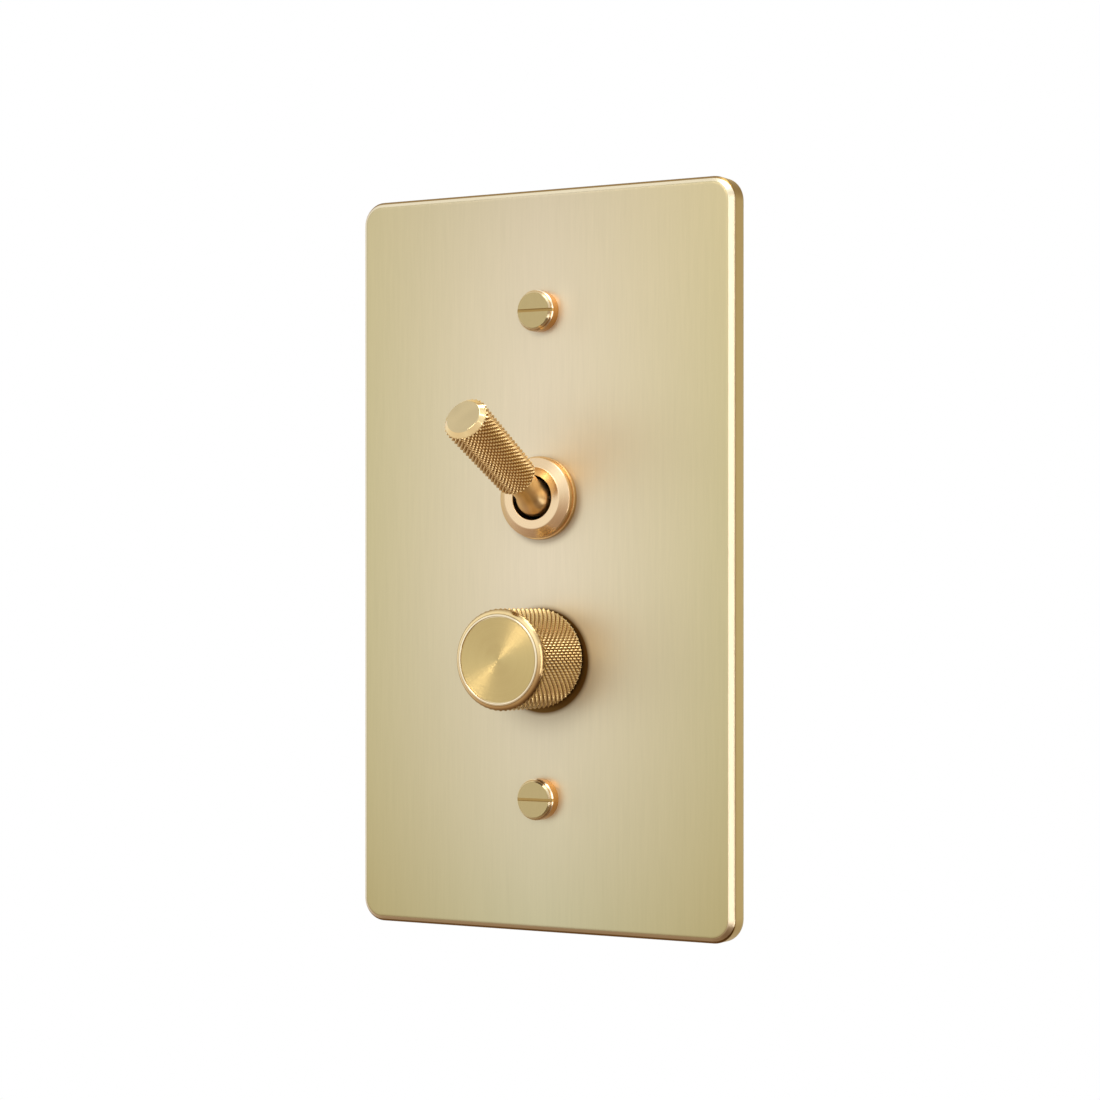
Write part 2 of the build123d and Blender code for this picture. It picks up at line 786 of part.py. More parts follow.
# Resistance track: notched disc on the can's floor
with BuildPart() as resistance_track:
    with BuildSketch(facing_front(track_y + track_thick)):
        with Locations((0, dimmer_z)):
            Circle(track_r)
            Circle(track_hole_r, mode=Mode.SUBTRACT)
            Rectangle(track_notch, track_r, align=(Align.CENTER, Align.MAX), mode=Mode.SUBTRACT)
    extrude(amount=track_thick)

# Rotor pressed on the shaft's tenon, and the bent wiper that reaches the track
with BuildPart() as rotor:
    with BuildSketch(facing_front(rotor_y + rotor_thick)):
        with Locations((0, dimmer_z)):
            Circle(rotor_r)
            Circle(tenon_r + press_gap, mode=Mode.SUBTRACT)
    extrude(amount=rotor_thick)

wiper_root = rotor_y + rotor_thick
wiper_end = track_y - run_gap
with BuildPart() as wiper:
    with BuildSketch(side_section(0, dimmer_z)):
        Polygon(
            (wiper_root, -wiper_foot),
            (wiper_root, wiper_foot + wiper_thick),
            (wiper_end - wiper_thick, wiper_tip),
            (wiper_end, wiper_tip),
            (wiper_root + wiper_thick, wiper_foot),
            (wiper_root + wiper_thick, -wiper_foot),
            align=None,
        )
    extrude(amount=wiper_width / 2, both=True)

# Heat sink: aluminium plate in the relief, with holes for the nose and the screws
with BuildPart() as heat_sink:
    with BuildSketch(facing_front(0)):
        with Locations((0, sink_mid)):
            RectangleRounded(sink_width, sink_height, dimmer_corner)
        with Locations((0, dimmer_z)):
            Circle(dimmer_nose_r + seat_gap, mode=Mode.SUBTRACT)
    extrude(amount=relief_depth)
    with Locations(Plane(origin=(0, -relief_depth, sink_mid), x_dir=(1, 0, 0), z_dir=(0, -1, 0))):
        with GridLocations(2 * post_x, 2 * post_z, 2, 2):
            CounterSinkHole(case_screw_r + seat_gap, case_screw_head_r + seat_gap)
    with BuildSketch(facing_front(0)):
        with Locations((triac_x, triac_hole_z)):
            Circle(triac_screw_r + press_gap)
    extrude(amount=relief_depth, mode=Mode.SUBTRACT)

# Triac: metal tab, moulded body and leads bent back to the board
with BuildPart() as triac:
    with BuildSketch(side_section(triac_x, 0)):
        Polygon(
            (0, triac_top),
            (triac_tab_thick, triac_top),
            (triac_tab_thick, triac_low + triac_body_height),
            (triac_body_thick, triac_low + triac_body_height),
            (triac_body_thick, triac_low),
            (0, triac_low),
            align=None,
        )
    extrude(amount=triac_width / 2, both=True)
    with BuildSketch(facing_front(triac_tab_thick)):
        with Locations((triac_x, triac_hole_z)):
            Circle(triac_screw_r + seat_gap)
    extrude(amount=triac_tab_thick, mode=Mode.SUBTRACT)
    lead_y = triac_body_thick / 2
    for step in (-1, 0, 1):
        with BuildSketch(side_section(triac_x + step * triac_lead_pitch, 0)):
            Polygon(
                (lead_y, triac_low),
                (lead_y, triac_low - triac_lead_drop),
                (pot_back, triac_low - triac_lead_drop),
                (pot_back, triac_low - triac_lead_drop + triac_lead),
                (lead_y + triac_lead, triac_low - triac_lead_drop + triac_lead),
                (lead_y + triac_lead, triac_low),
                align=None,
            )
        extrude(amount=triac_lead / 2, both=True)

with BuildPart() as triac_screw:
    with BuildSketch(facing_front(triac_tab_thick + triac_screw_head_rise)):
        with Locations((triac_x, triac_hole_z)):
            Circle(triac_screw_head_r)
            Rectangle(2 * triac_screw_head_r, binding_slot_width, mode=Mode.SUBTRACT)
    extrude(amount=binding_slot_depth)
    with BuildSketch(facing_front(triac_tab_thick + triac_screw_head_rise - binding_slot_depth)):
        with Locations((triac_x, triac_hole_z)):
            Circle(triac_screw_head_r)
    extrude(amount=triac_screw_head_rise - binding_slot_depth)
    with BuildSketch(facing_front(triac_tab_thick)):
        with Locations((triac_x, triac_hole_z)):
            Circle(triac_screw_r)
    extrude(amount=triac_tab_thick + relief_depth)

# Circuit board: corners cut away for the case's posts
board_half = sink_width / 2 - dimmer_wall - board_gap
board_rise = sink_height / 2 - dimmer_wall - board_gap
with BuildPart() as circuit_board:
    with BuildSketch(facing_front(board_back)):
        with Locations((0, sink_mid)):
            Rectangle(2 * board_half, 2 * board_rise)
            with GridLocations(2 * post_x, 2 * post_z, 2, 2):
                Rectangle(post_size + 2 * board_gap, post_size + 2 * board_gap, mode=Mode.SUBTRACT)
    extrude(amount=board_thick)

# Choke: ring core and a winding that wraps most of it
with BuildPart() as choke_core:
    with BuildSketch(facing_front(board_back + winding_thick + choke_height)):
        with Locations((choke_x, choke_z)):
            Circle(choke_r)
            Circle(choke_hole_r, mode=Mode.SUBTRACT)
    extrude(amount=choke_height)

wind_low = -board_back - 2 * winding_thick - choke_height
wind_mid = -board_back - winding_thick
with BuildPart() as choke_winding:
    with BuildSketch(turned(choke_x, choke_z)):
        Polygon(
            (wind_low, choke_hole_r - winding_thick),
            (wind_low, choke_r + winding_thick),
            (-board_back, choke_r + winding_thick),
            (-board_back, choke_hole_r - winding_thick),
            align=None,
        )
        Polygon(
            (wind_mid - choke_height, choke_hole_r),
            (wind_mid - choke_height, choke_r),
            (wind_mid, choke_r),
            (wind_mid, choke_hole_r),
            align=None,
            mode=Mode.SUBTRACT,
        )
    revolve(axis=forward_axis(choke_x, choke_z), revolution_arc=winding_arc)

with BuildPart() as capacitor:
    with BuildSketch(facing_front(board_back + capacitor_depth)):
        with Locations((capacitor_x, capacitor_z)):
            Rectangle(capacitor_width, capacitor_height)
    extrude(amount=capacitor_depth)

# Dimmer terminals: legs from the board to pads on the back of the case
with BuildPart() as dimmer_terminals:
    for side in (-1, 1):
        with BuildSketch(side_section(side * dimmer_pad_x, 0)):
            Polygon(
                (board_back, dimmer_leg_z),
                (board_back, dimmer_leg_z + strip_thick),
                (dimmer_binding_face, dimmer_leg_z + strip_thick),
                (dimmer_binding_face, dimmer_pad_end),
                (dimmer_back, dimmer_pad_end),
                (dimmer_back, dimmer_leg_z),
                align=None,
            )
        extrude(amount=pad_width / 2, both=True)
    with BuildSketch(facing_front(dimmer_binding_face)):
        with Locations((-dimmer_pad_x, dimmer_binding_z), (dimmer_pad_x, dimmer_binding_z)):
            Circle(binding_r + seat_gap)
    extrude(amount=strip_thick, mode=Mode.SUBTRACT)

dimmer_places = [(-dimmer_pad_x, dimmer_binding_z), (dimmer_pad_x, dimmer_binding_z)]
with BuildPart() as dimmer_terminal_screws:
    with BuildSketch(facing_front(dimmer_binding_face + binding_head_rise)):
        with Locations(*dimmer_places):
            Circle(binding_head_r)
            Rectangle(2 * binding_head_r, binding_slot_width, mode=Mode.SUBTRACT)
    extrude(amount=binding_slot_depth)
    with BuildSketch(facing_front(dimmer_binding_face + binding_head_rise - binding_slot_depth)):
        with Locations(*dimmer_places):
            Circle(binding_head_r)
    extrude(amount=binding_head_rise - binding_slot_depth)
    with BuildSketch(facing_front(dimmer_binding_face)):
        with Locations(*dimmer_places):
            Circle(binding_r)
    extrude(amount=binding_length)

# Dimmer case: moulded box with corner posts, board ledges and screw bosses
inner_width = sink_width - 2 * dimmer_wall
inner_height = sink_height - 2 * dimmer_wall
inner_back = dimmer_back - dimmer_back_wall
with BuildPart() as dimmer_case:
    with BuildSketch(facing_front(dimmer_back)):
        with Locations((0, sink_mid)):
            RectangleRounded(sink_width, sink_height, dimmer_corner)
    extrude(amount=dimmer_back)
    chamfer(dimmer_case.faces().sort_by(Axis.Y)[-1].edges(), dimmer_back_bevel)
    with BuildSketch(facing_front(dimmer_back + barrier_rise)):
        with Locations((0, dimmer_binding_z)):
            Rectangle(barrier_thick, dimmer_leg_z - dimmer_pad_end)
    extrude(amount=barrier_rise)
    with BuildSketch(facing_front(inner_back)):
        with Locations((0, sink_mid)):
            Rectangle(inner_width, inner_height)
            with GridLocations(2 * post_x, 2 * post_z, 2, 2):
                Rectangle(post_size, post_size, mode=Mode.SUBTRACT)
    extrude(amount=inner_back, mode=Mode.SUBTRACT)
    with BuildSketch(facing_front(inner_back)):
        with Locations((0, sink_mid)):
            with GridLocations(inner_width - ledge_width, 0, 2, 1):
                Rectangle(ledge_width, ledge_height)
    extrude(amount=inner_back - board_back)
    with BuildSketch(facing_front(inner_back)):
        with Locations(*dimmer_places):
            Circle(dimmer_boss_r)
    extrude(amount=dimmer_boss_depth)
    with BuildSketch(facing_front(dimmer_back)):
        with Locations(*dimmer_places):
            Circle(binding_r + press_gap)
        leg_mid_z = dimmer_leg_z + strip_thick / 2
        with Locations((-dimmer_pad_x, leg_mid_z), (dimmer_pad_x, leg_mid_z)):
            Rectangle(pad_width + seat_gap, strip_thick + seat_gap)
    extrude(amount=binding_length, mode=Mode.SUBTRACT)
    with BuildSketch(facing_front(case_screw_length)):
        with Locations((0, sink_mid)):
            with GridLocations(2 * post_x, 2 * post_z, 2, 2):
                Circle(case_screw_r + press_gap)
    extrude(amount=case_screw_length, mode=Mode.SUBTRACT)

# Countersunk screws through the heat sink into the posts
with BuildPart() as dimmer_case_screws:
    with BuildSketch(turned(post_x, sink_mid + post_z)):
        Polygon(
            (press_gap - case_screw_length, 0),
            (press_gap - case_screw_length, case_screw_r),
            (relief_depth - case_head_rise, case_screw_r),
            (relief_depth, case_screw_head_r),
            (relief_depth, 0),
            align=None,
        )
    revolve(axis=forward_axis(post_x, sink_mid + post_z))
    mirror(about=Plane.YZ)
    mirror(about=Plane.XY.offset(sink_mid))

pieces = {
    "face_plate": face_plate,
    "plate_screws": plate_screws,
    "ground_washer": ground_washer,
    "ground_screw": ground_screw,
    "toggle_bushing": toggle_bushing,
    "toggle_ring": toggle_ring,
    "toggle_lever": toggle_lever,
    "toggle_grip": toggle_grip,
    "toggle_pivot_pin": toggle_pivot_pin,
    "plunger": plunger,
    "plunger_spring": plunger_spring,
    "contact_cradle": contact_cradle,
    "moving_contacts": moving_contacts,
    "cradle_pin": cradle_pin,
    "common_terminal": common_terminal,
    "upper_terminal": upper_terminal,
    "lower_terminal": lower_terminal,
    "fixed_contacts": fixed_contacts,
    "switch_terminal_screws": switch_terminal_screws,
    "switch_case": switch_case,
    "switch_case_screws": switch_case_screws,
    "dimmer_knob": dimmer_knob,
    "dimmer_shaft": dimmer_shaft,
    "shaft_clip": shaft_clip,
    "dimmer_bushing": dimmer_bushing,
    "dimmer_washer": dimmer_washer,
    "dimmer_nut": dimmer_nut,
    "pot_case": pot_case,
    "resistance_track": resistance_track,
    "rotor": rotor,
    "wiper": wiper,
    "heat_sink": heat_sink,
    "triac": triac,
    "triac_screw": triac_screw,
    "circuit_board": circuit_board,
    "choke_core": choke_core,
    "choke_winding": choke_winding,
    "capacitor": capacitor,
    "dimmer_terminals": dimmer_terminals,
    "dimmer_terminal_screws": dimmer_terminal_screws,
    "dimmer_case": dimmer_case,
    "dimmer_case_screws": dimmer_case_screws,
}
for node, piece in pieces.items():
    piece.part.label = node
    export_step(piece.part, f"parts/{node}.step")
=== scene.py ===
from math import cos, pi, radians, sin

import bpy
import numpy as np
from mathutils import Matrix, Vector


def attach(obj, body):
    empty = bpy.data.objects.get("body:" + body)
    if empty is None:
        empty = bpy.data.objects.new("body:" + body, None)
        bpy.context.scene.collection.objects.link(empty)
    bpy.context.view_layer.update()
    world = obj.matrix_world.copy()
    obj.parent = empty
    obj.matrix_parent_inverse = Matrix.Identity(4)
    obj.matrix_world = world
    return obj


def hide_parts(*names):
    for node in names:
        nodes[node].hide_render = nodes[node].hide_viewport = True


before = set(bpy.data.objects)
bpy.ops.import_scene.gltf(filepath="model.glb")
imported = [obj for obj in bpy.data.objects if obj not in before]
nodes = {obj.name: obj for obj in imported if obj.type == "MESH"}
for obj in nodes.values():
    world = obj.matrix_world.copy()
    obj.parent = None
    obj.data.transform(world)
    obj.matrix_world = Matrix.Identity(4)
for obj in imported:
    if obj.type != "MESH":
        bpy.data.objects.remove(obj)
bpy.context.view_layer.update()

# Millimetres to Blender's metres
MM = 0.001

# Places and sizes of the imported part, in millimetres
PLATE_FRONT = 4.0
PLATE_BEVEL_END = 3.0
PLATE_HALF_WIDTH = 36.6
PLATE_HALF_HEIGHT = 63.5
TOGGLE_Z = 9.75
DIMMER_Z = -17.6
SCREW_Z = 41.65
COIL_X = -8.25
COIL_Z = -21.5
PIVOT = np.array((0.0, -5.9, TOGGLE_Z))
LEVER_TILT = radians(28.5)

FORWARD = np.array((0.0, -1.0, 0.0))
UPWARD = np.array((0.0, 0.0, 1.0))
LEVER_LINE = np.array((0.0, -cos(LEVER_TILT), sin(LEVER_TILT)))
LEVER_UP = np.array((0.0, sin(LEVER_TILT), cos(LEVER_TILT)))

# Dress ring. The eases follow the order of its corners.
RING_BASE_R = 7.12
RING_BODY_R = 6.85
RING_FACE_R = 5.3
RING_BORE_R = 3.82
RING_THREAD_R = 5.25
RING_FOOT = 0.8
RING_CONE_START = 1.95
RING_RISE = 3.0
RING_LIP = 2.5
RING_EASES = (0.02, 0.06, 0.12, 0.03, 0.14, 0.14, 0.12, 0.05, 0.02)
RING_COLUMNS = 256

# Dimmer knob
KNOB_R = 8.6
KNOB_FOOT = 4.4
KNOB_FOOT_BEVEL = 0.3
KNOB_TOP = 18.3
KNOB_BEVEL = 1.15
KNOB_FACE_R = 7.5
KNOB_LIP = 0.25
KNOB_LIP_DROP = 0.12
KNOB_LIP_FLARE = 0.115
KNOB_LIP_EASES = (0.12, 0.11, 0.02)
KNOB_SINK = 0.12
KNOB_RECESS_R = 6.9
KNOB_CEILING = 8.4
KNOB_BORE_R = 3.01
KNOB_BORE_END = 15.51
KNOB_HOLLOW_EASE = 0.05
KNOB_TEETH = 54
KNOB_ROWS = 9
KNOB_KNURL = 0.5
KNOB_CROWN = 0.2

# The knob's knurl grows shallower over this length before the bevel, to this share of its depth
KNOB_FADE = 1.0
KNOB_FADE_LEFT = 0.35

# Relief across the knob's bevel, which sets its tone, at shares of the way to the lip. This is
# painted
# light: a lighter band between darker lines of painted shade at the knurl and at the lip.
BEVEL_SHARES = (0, 0.5, 0.7, 0.85, 0.92)
BEVEL_PAINTED_LIGHT = (0.3, 0.5, 0.9, 0.9, 0.15)

# Spun face of the knob. A groove takes this share of its pitch, and the rest is flat land.
FACE_GAP = 0.1
FACE_GROOVES = 46
FACE_COLUMNS = 160
GROOVE_SPAN = 0.6
GROOVE_SLOPES = (0.33, 0.43)
SEAT_DEPTH = 0.2
SEAT_GAP = 0.01

# Toggle grip
GRIP_START = 6.8
GRIP_END = 26.4
GRIP_BASE_R = 3.7
GRIP_TIP_R = 4.05
GRIP_ROUND = 0.9
GRIP_BEVEL = 1.1
GRIP_FACE_R = 2.95
GRIP_TIP_EASE = 0.1
GRIP_BORE_R = 1.61
GRIP_BORE_END = 20.81
GRIP_HOLLOW_EASE = 0.04
GRIP_TEETH = 30
GRIP_ROWS = 18
GRIP_KNURL = 0.38

# Grid cells per knurl tooth, and the relief that marks a plain turned end
CELLS = 8
PLAIN_END = 2.0

# Plate screws
HEAD_FACE_R = 3.0
HEAD_STEP = 5.75
HEAD_LINE_R = 3.31
SLOT_HALF = 0.27
THREAD_PITCH = 0.8
THREAD_START = 0.5

# Widths over which one colour turns into the next
CRISP = 0.05
LINE_FADE = 1 / 12
SIDE_FADE = 0.2

# How far before the wall plane the plate's bevel colour and side colour start, and the ring's
# side, whose deeper colour is painted shade
PLATE_BEVEL_TONE = 3.96
PLATE_SIDE_TONE = 3.1
RING_SHADED_SIDE = PLATE_FRONT + RING_CONE_START - 0.1

# Painted shadows about the controls, set right of and below them: x, z, radius it starts from,
# width and strength
PAINTED_SHADOWS = (
    (0.45, TOGGLE_Z - 0.45, RING_BASE_R, 1.3, 0.4),
    (0.45, DIMMER_Z - 0.45, KNOB_R, 1.3, 1.0),
    (0.6, DIMMER_Z - 1.8, KNOB_R, 4.5, 0.28),
)

# Painted reflections of the controls' lit sides, as paler spots beside them: x, z, width, height
# and strength
PAINTED_GLOWS = (
    (6.0, 15.0, 7.0, 3.8, 0.11),
    (10.0, -17.5, 6.0, 4.8, 0.2),
    (4.2, SCREW_Z, 1.2, 2.0, 0.18),
    (4.2, -SCREW_Z, 1.2, 2.0, 0.18),
)

# Colour of the plate along its middle line and along its sides: a painted highlight makes the
# middle palest, and painted shade deepens it towards the head, the foot and the sides
MIDDLE_HIGHLIGHT_BRASS = (0.765, 0.675, 0.50)
HEAD_SHADE_BRASS = (0.59, 0.52, 0.37)
FOOT_SHADE_BRASS = (0.61, 0.565, 0.355)
SIDE_SHADE_BRASS = (0.59, 0.525, 0.30)
SIDE_HEAD_SHADE_BRASS = (0.55, 0.48, 0.28)
SIDE_FOOT_SHADE_BRASS = (0.51, 0.43, 0.205)

# Other colours of the plate. The first is the brown of the painted shadows about the controls.
SHADOW_BROWN = (0.13, 0.065, 0.015)
BEVEL_BRASS = (0.90, 0.80, 0.57)
EDGE_BRASS = (0.80, 0.70, 0.31)
# Brown of a painted shade line along the plate's arris
ARRIS_SHADE_BROWN = (0.34, 0.21, 0.06)

# Brushing of the plate, counted per metre along each axis
BRUSH_STROKES = (5200, 5200, 170)
BRUSH_BANDS = (1500, 1500, 60)
BRUSH_CLOUDS = (26, 26, 17)

# Worn crests of the knurls
WORN_BRASS = (0.98, 0.76, 0.39)


def turned(origin, axis, up, reach, radius, columns):
    """Turned surface: origin + reach along the axis + radius times (cos angle right + sin angle
    up)."""
    angle = np.arange(columns) * 2 * pi / columns
    right = np.cross(up, axis)
    spoke = np.cos(angle)[:, None] * right + np.sin(angle)[:, None] * up
    along = np.asarray(reach)[:, None, None] * axis
    return origin + along + np.broadcast_to(radius, (len(reach), columns))[:, :, None] * spoke


def eased(corners, ease, closed=False, steps=7):
    """Path through corners, each rounded by the parabola (1-t)^2 a + 2t(1-t) corner + t^2 b,
    where a and b lie the corner's ease before and after it."""
    corners = np.array(corners, float)
    middle = corners if closed else corners[1:-1]
    before = (np.roll(corners, 1, 0) if closed else corners[:-2]) - middle
    after = (np.roll(corners, -1, 0) if closed else corners[2:]) - middle
    before /= np.linalg.norm(before, axis=1)[:, None]
    after /= np.linalg.norm(after, axis=1)[:, None]
    ease = np.broadcast_to(ease, len(middle))[:, None, None]
    t = np.linspace(0, 1, steps)[None, :, None]
    middle, before, after = middle[:, None], before[:, None], after[:, None]
    bends = middle + ease * ((1 - t) ** 2 * before + t**2 * after)
    path = bends.reshape(-1, 2)
    return path if closed else np.vstack([corners[:1], path, corners[-1:]])


def diamonds(turn, row):
    """Diamond knurl: turn counts teeth round the piece and row along it. The height is
    |sin(pi (turn + row))| |sin(pi (turn - row))|, so sharp grooves cross between rounded diamonds.
    Gives the height and whether the second family of grooves is the nearer one."""
    first = np.abs(np.sin(pi * (turn + row)))
    second = np.abs(np.sin(pi * (turn - row)))
    return first * second, first > second


def skin(points, lean=False, loop=False):
    """Triangles over a grid whose columns close on themselves. Lean picks each cell's diagonal.
    The rows close too with loop; otherwise the first and last row are single points."""
    rows, columns = points.shape[:2]
    index = np.arange(rows * columns).reshape(rows, columns)
    if not loop:
        index[[0, -1]] = index[[0, -1], :1]
    index = np.vstack([index, index[:1]]) if loop else index
    index = np.column_stack([index, index[:, :1]])
    a, b, c, d = index[:-1, :-1], index[:-1, 1:], index[1:, 1:], index[1:, :-1]
    lean = np.broadcast_to(lean, a.shape)
    lower = np.stack([a, b, np.where(lean, d, c)], axis=-1).reshape(-1, 3)
    upper = np.stack([np.where(lean, b, a), c, d], axis=-1).reshape(-1, 3)
    faces = np.concatenate([lower, upper])
    faces = faces[(faces != np.roll(faces, 1, axis=1)).all(axis=1)]
    used, faces = np.unique(faces, return_inverse=True)
    return used, faces.reshape(-1, 3)


def piece(name, points, body, stands_for, lean=False, loop=False, crease=28, relief=None):
    """Puts a grid of points, in millimetres, into the scene as one closed piece that rides on a
    body and stands for a CAD node."""
    used, faces = skin(points, lean, loop)
    places = points.reshape(-1, 3)[used] * MM
    mesh = bpy.data.meshes.new(name)
    mesh.vertices.add(len(used))
    mesh.vertices.foreach_set("co", places.astype(np.float32).ravel())
    mesh.loops.add(faces.size)
    mesh.loops.foreach_set("vertex_index", faces.astype(np.int32).ravel())
    mesh.polygons.add(len(faces))
    mesh.polygons.foreach_set("loop_start", np.arange(0, faces.size, 3, dtype=np.int32))
    mesh.update(calc_edges=True)
    mesh.shade_smooth()
    mesh.set_sharp_from_angle(angle=radians(crease))
    if relief is not None:
        layer = mesh.attributes.new("relief", "FLOAT", "POINT")
        layer.data.foreach_set("value", relief.reshape(-1)[used].astype(np.float32))
    made = bpy.data.objects.new(name, mesh)
    bpy.context.scene.collection.objects.link(made)
    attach(made, body)
    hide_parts(stands_for)
    return made


def at_z(z):
    """Point on the wall plane that a forward-facing turned piece starts from."""
    return np.array((0.0, 0.0, z))


def dress_ring():
    """Closed turned section of the ring, with eased edges, carried round its axis."""
    corners = [
        (PLATE_FRONT, RING_THREAD_R),
        (PLATE_FRONT, RING_BASE_R),
        (PLATE_FRONT + RING_FOOT, RING_BASE_R),
        (PLATE_FRONT + RING_FOOT, RING_BODY_R),
        (PLATE_FRONT + RING_CONE_START, RING_BODY_R),
        (PLATE_FRONT + RING_RISE, RING_FACE_R),
        (PLATE_FRONT + RING_RISE, RING_BORE_R),
        (PLATE_FRONT + RING_LIP, RING_BORE_R),
        (PLATE_FRONT + RING_LIP, RING_THREAD_R),
    ]
    path = eased(corners, RING_EASES, closed=True)
    points = turned(at_z(TOGGLE_Z), FORWARD, UPWARD, path[:, 0], path[:, 1:], RING_COLUMNS)
    return piece("dress_ring", points, "base", "toggle_ring", loop=True, crease=50)


def knurled_turning(under, reach, outline, crest, top, start, end, rows, teeth, depth, bare=1.0):
    """Section, radius and relief of a knurled turning. Between its plain inside and its plain end
    the radius is the smaller of the outline and crest - depth (1 - height of the diamonds). Relief
    is that height where the knurl shows, and bare where the plain outline cuts it off."""
    columns = teeth * CELLS
    turn = np.arange(columns) / CELLS
    per_mm = rows / (end - start)
    height, _ = diamonds(turn, (reach[:, None] - start) * per_mm)
    knurled_r = crest[:, None] - np.broadcast_to(depth, len(reach))[:, None] * (1 - height)
    shown = knurled_r <= outline[:, None] + 1e-6
    middle = np.where(shown, knurled_r, outline[:, None])
    round_it = np.ones(columns)
    radius = np.vstack([under[:, 1:] * round_it, middle, top[:, 1:] * round_it])
    inside = np.ones((len(under), columns))
    outside = np.full((len(top), columns), PLAIN_END)
    relief = np.where(shown, height, np.broadcast_to(bare, len(reach))[:, None])
    relief = np.vstack([inside, relief, outside])
    reach = np.concatenate([under[:, 0], reach, top[:, 0]])
    half_way = (reach[:-1] + reach[1:]) / 2
    _, lean = diamonds(turn + 0.5 / CELLS, (half_way[:, None] - start) * per_mm)
    return reach, radius, relief, lean


def knob_barrel():
    """Knurled knob with a hollow back, a crowned plain bevel and a rounded lip about its face. The
    crown adds 4 crown share (1 - share) to the bevel's straight line, and the knurl grows shallower
    close to it."""
    hollow = [
        (KNOB_BORE_END, 0),
        (KNOB_BORE_END, KNOB_BORE_R),
        (KNOB_CEILING, KNOB_BORE_R),
        (KNOB_CEILING, KNOB_RECESS_R),
        (KNOB_FOOT, KNOB_RECESS_R),
        (KNOB_FOOT, KNOB_R - KNOB_FOOT_BEVEL),
    ]
    under = eased(hollow, KNOB_HOLLOW_EASE, steps=3)
    start = KNOB_FOOT + KNOB_FOOT_BEVEL
    end = KNOB_TOP - KNOB_BEVEL
    foot = np.linspace(KNOB_FOOT, start, 4)[1:-1]
    barrel = np.linspace(start, end, KNOB_ROWS * CELLS + 1)
    bevel = np.linspace(end, KNOB_TOP, 15)[1:-1]
    reach = np.concatenate([foot, barrel, bevel])
    places = [KNOB_FOOT, start, end, KNOB_TOP]
    outline = np.interp(reach, places, [KNOB_R - KNOB_FOOT_BEVEL, KNOB_R, KNOB_R, KNOB_FACE_R])
    share = np.interp(reach, [end, KNOB_TOP], [0, 1])
    outline += 4 * KNOB_CROWN * share * (1 - share)
    depth = KNOB_KNURL * np.interp(reach, [end - KNOB_FADE, end], [1, KNOB_FADE_LEFT])
    # The bevel's relief is painted light, which the knurl finish reads as tone
    bare = np.interp(share, BEVEL_SHARES, BEVEL_PAINTED_LIGHT)
    crest = np.full(len(reach), KNOB_R)
    seat = KNOB_TOP - KNOB_SINK - SEAT_DEPTH
    lip_r = KNOB_FACE_R - KNOB_LIP
    lip = [
        (KNOB_TOP - KNOB_LIP_DROP, KNOB_FACE_R + KNOB_LIP_FLARE),
        (KNOB_TOP, KNOB_FACE_R),
        (KNOB_TOP, lip_r),
        (seat, lip_r),
        (seat, 0),
    ]
    top = eased(lip, KNOB_LIP_EASES)[1:]
    reach, radius, relief, lean = knurled_turning(
        under, reach, outline, crest, top, start, end, KNOB_ROWS, KNOB_TEETH, depth, bare
    )
    points = turned(at_z(DIMMER_Z), FORWARD, UPWARD, reach, radius, KNOB_TEETH * CELLS)
    return piece(
        "knob_barrel", points, "knob", "dimmer_knob", lean=lean, relief=relief
    )


def knob_face():
    """Thin spun disc cut with V grooves: each has a flat land, a slope down and a slope back up,
    and the slopes vary from groove to groove."""
    edge = KNOB_FACE_R - KNOB_LIP - FACE_GAP
    front = KNOB_TOP - KNOB_SINK
    pitch = edge / (FACE_GROOVES + 0.5)
    slope = np.random.default_rng(5).uniform(*GROOVE_SLOPES, FACE_GROOVES)
    inner = (np.arange(FACE_GROOVES) + 1 - GROOVE_SPAN) * pitch
    radius = inner[:, None] + np.array((0.0, 0.5, 1.0)) * GROOVE_SPAN * pitch
    depth = slope[:, None] * np.array((0.0, 0.5, 0.0)) * GROOVE_SPAN * pitch
    radius = np.concatenate([[0, edge, edge], radius[::-1, ::-1].ravel(), [0]])
    reach = front - np.concatenate([[0, 0, 0], depth[::-1, ::-1].ravel(), [0]])
    reach[:2] = front - SEAT_DEPTH + SEAT_GAP
    points = turned(at_z(DIMMER_Z), FORWARD, UPWARD, reach, radius[:, None], FACE_COLUMNS)
    return piece("knob_face", points, "knob", "dimmer_knob", crease=5)


